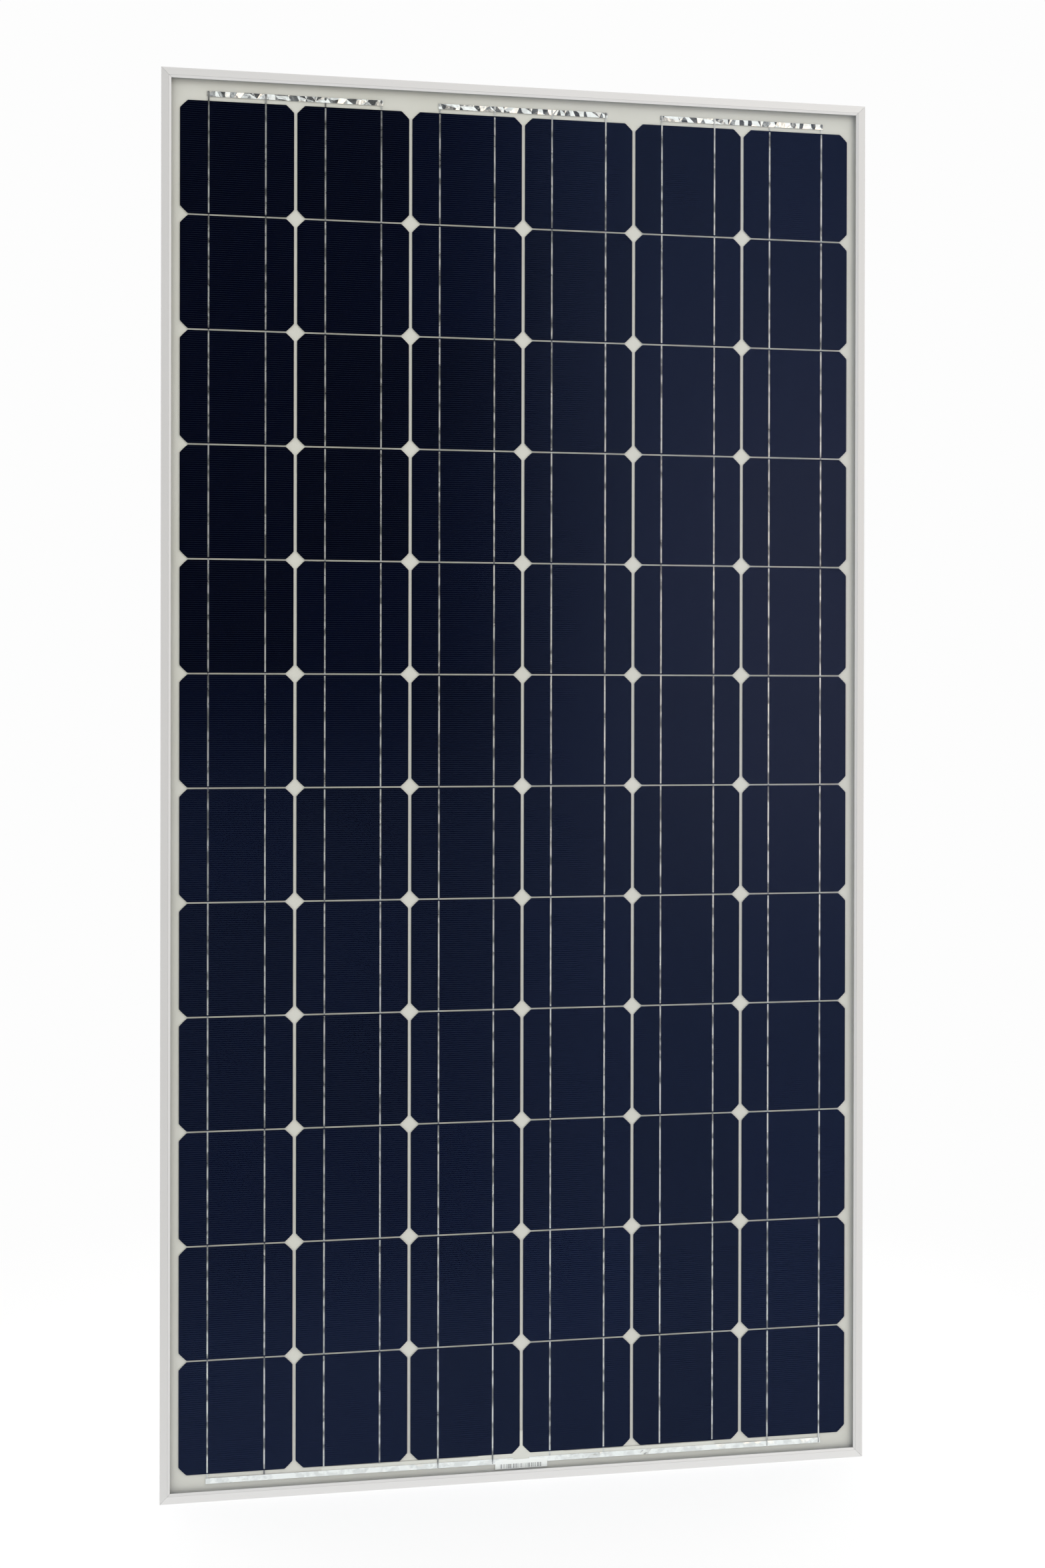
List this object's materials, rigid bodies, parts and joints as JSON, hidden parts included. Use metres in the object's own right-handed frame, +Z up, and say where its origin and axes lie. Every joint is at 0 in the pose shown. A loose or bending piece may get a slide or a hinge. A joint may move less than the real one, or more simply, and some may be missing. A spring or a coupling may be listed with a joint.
{
  "type": "solar panel",
  "caption": "Framed photovoltaic panel: glass-fronted dark cells joined by flat ribbons in a mitred aluminium frame, with a hinged-lid junction box on the back.",
  "frame": {"origin": "centre of the four rack holes, on the rear face of the frame's flange", "axes": "+Z up along the panel's long side, +X to the right seen from the glass side, +Y out of the back, towards the rack"},
  "size_m": [0.808, 0.035, 1.58],
  "materials": {
    "anodised_frame": "satin",
    "edge_seal": "matte",
    "corner_key": "matte",
    "front_glass": "gloss",
    "encapsulant": "gloss",
    "backsheet": "matte",
    "solar_cell": "satin",
    "tinned_ribbon": "satin",
    "white_insulator": "matte",
    "label": "matte",
    "box_sealant": "matte",
    "junction_box": "matte",
    "gland_nut": "matte",
    "box_rubber": "matte",
    "steel_pin": "satin",
    "terminal_rail": "satin",
    "spring_steel": "satin",
    "diode": "satin"
  },
  "bodies": {
    "panel": {"frame_rail_left": "anodised_frame", "frame_rail_right": "anodised_frame", "frame_rail_top": "anodised_frame", "frame_rail_bottom": "anodised_frame", "edge_seal_left": "edge_seal", "edge_seal_right": "edge_seal", "edge_seal_top": "edge_seal", "edge_seal_bottom": "edge_seal", "corner_key_top_left": "corner_key", "corner_key_top_right": "corner_key", "corner_key_bottom_left": "corner_key", "corner_key_bottom_right": "corner_key", "front_glass": "front_glass", "front_encapsulant": "encapsulant", "rear_encapsulant": "encapsulant", "backsheet": "backsheet", "cell_string_1": "solar_cell", "string_ribbons_1": "tinned_ribbon", "cell_string_2": "solar_cell", "string_ribbons_2": "tinned_ribbon", "cell_string_3": "solar_cell", "string_ribbons_3": "tinned_ribbon", "cell_string_4": "solar_cell", "string_ribbons_4": "tinned_ribbon", "cell_string_5": "solar_cell", "string_ribbons_5": "tinned_ribbon", "cell_string_6": "solar_cell", "string_ribbons_6": "tinned_ribbon", "link_ribbon_top_12": "tinned_ribbon", "link_ribbon_top_34": "tinned_ribbon", "link_ribbon_top_56": "tinned_ribbon", "link_ribbon_bottom_13": "tinned_ribbon", "link_ribbon_bottom_46": "tinned_ribbon", "terminal_ribbon_2": "tinned_ribbon", "terminal_ribbon_5": "tinned_ribbon", "insulating_strip": "white_insulator", "lead_insulator": "white_insulator", "bar_label": "label", "rating_label": "label", "box_adhesive": "box_sealant", "junction_box_base": "junction_box", "lid_gasket": "box_rubber", "hinge_pin": "steel_pin", "terminal_rail_1": "terminal_rail", "terminal_rail_2": "terminal_rail", "terminal_rail_3": "terminal_rail", "terminal_rail_4": "terminal_rail", "ribbon_clips": "spring_steel", "bypass_diode_1": "diode", "bypass_diode_2": "diode", "bypass_diode_3": "diode", "clamp_screws": "steel_pin", "gland_seal_left": "box_rubber", "gland_seal_right": "box_rubber"},
    "junction_box_lid": {"junction_box_lid": "junction_box"},
    "gland_nut_left": {"gland_nut_left": "gland_nut"},
    "gland_nut_right": {"gland_nut_right": "gland_nut"}
  },
  "joints": [
    {"name": "lid_hinge", "type": "hinge", "parent": "panel", "child": "junction_box_lid", "pos_m": [-0.059, -0.0085, -0.7045], "axis": [0, 0, 1], "range_deg": [0, 105]},
    {"name": "gland_nut_left_turn", "type": "hinge", "parent": "panel", "child": "gland_nut_left", "pos_m": [-0.036, -0.0156, -0.6425], "axis": [0, 0, 1], "range_deg": [0, 360]},
    {"name": "gland_nut_right_turn", "type": "hinge", "parent": "panel", "child": "gland_nut_right", "pos_m": [0.036, -0.0156, -0.6425], "axis": [0, 0, 1], "range_deg": [0, 360]}
  ]
}
